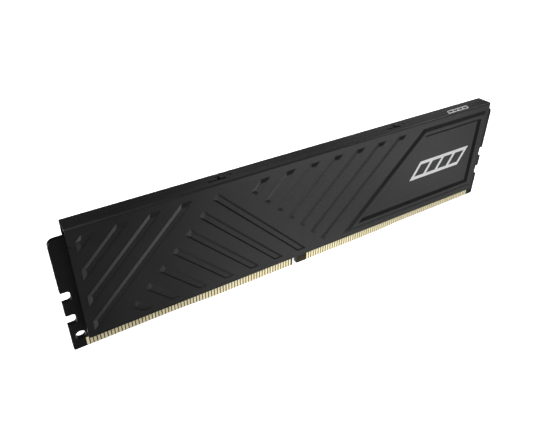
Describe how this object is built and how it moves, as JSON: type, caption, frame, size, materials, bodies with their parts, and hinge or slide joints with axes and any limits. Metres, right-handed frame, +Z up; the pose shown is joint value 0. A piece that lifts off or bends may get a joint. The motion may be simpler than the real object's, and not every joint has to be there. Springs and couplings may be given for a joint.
{
  "type": "ram module",
  "caption": "Desktop memory module: a keyed circuit board with gold edge contacts inside a two-half black heat spreader embossed with slanted ribs and a framed badge panel.",
  "frame": {"origin": "the middle of the bottom of the bounding box, on the contact edge, where the socket holds the module", "axes": "+X along the module, -Y towards the face with the short contact group on the left, +Z up, away from the socket"},
  "size_m": [0.1334, 0.006, 0.0342],
  "materials": {
    "board": "black solder mask over glass epoxy",
    "contacts": "hard gold plating",
    "chips": "moulded black epoxy",
    "resistors": "dark glazed ceramic",
    "capacitors": "tan ceramic",
    "thermal_tape": "matt grey adhesive tape",
    "spreader": "fine matt black coating",
    "emblem": "white print",
    "label": "satin silver film"
  },
  "bodies": {
    "root": {"circuit_board": "board", "front_contacts_left": "contacts", "front_contacts_right": "contacts", "rear_contacts_left": "contacts", "rear_contacts_right": "contacts", "front_memory_chip_1": "chips", "front_memory_chip_2": "chips", "front_memory_chip_3": "chips", "front_memory_chip_4": "chips", "front_memory_chip_5": "chips", "front_memory_chip_6": "chips", "front_memory_chip_7": "chips", "front_memory_chip_8": "chips", "rear_memory_chip_1": "chips", "rear_memory_chip_2": "chips", "rear_memory_chip_3": "chips", "rear_memory_chip_4": "chips", "rear_memory_chip_5": "chips", "rear_memory_chip_6": "chips", "rear_memory_chip_7": "chips", "rear_memory_chip_8": "chips", "presence_detect_chip": "chips", "resistor_array_1": "resistors", "resistor_array_2": "resistors", "resistor_array_3": "resistors", "resistor_array_4": "resistors", "resistor_array_5": "resistors", "resistor_array_6": "resistors", "resistor_array_7": "resistors", "resistor_array_8": "resistors", "decoupling_capacitor_1": "capacitors", "decoupling_capacitor_2": "capacitors", "decoupling_capacitor_3": "capacitors", "decoupling_capacitor_4": "capacitors", "decoupling_capacitor_5": "capacitors", "decoupling_capacitor_6": "capacitors", "decoupling_capacitor_7": "capacitors", "decoupling_capacitor_8": "capacitors", "front_thermal_tape": "thermal_tape", "rear_thermal_tape": "thermal_tape", "front_spreader": "spreader", "rear_spreader": "spreader", "badge_emblem": "emblem", "top_emblem": "emblem", "blank_label": "label"}
  },
  "joints": []
}
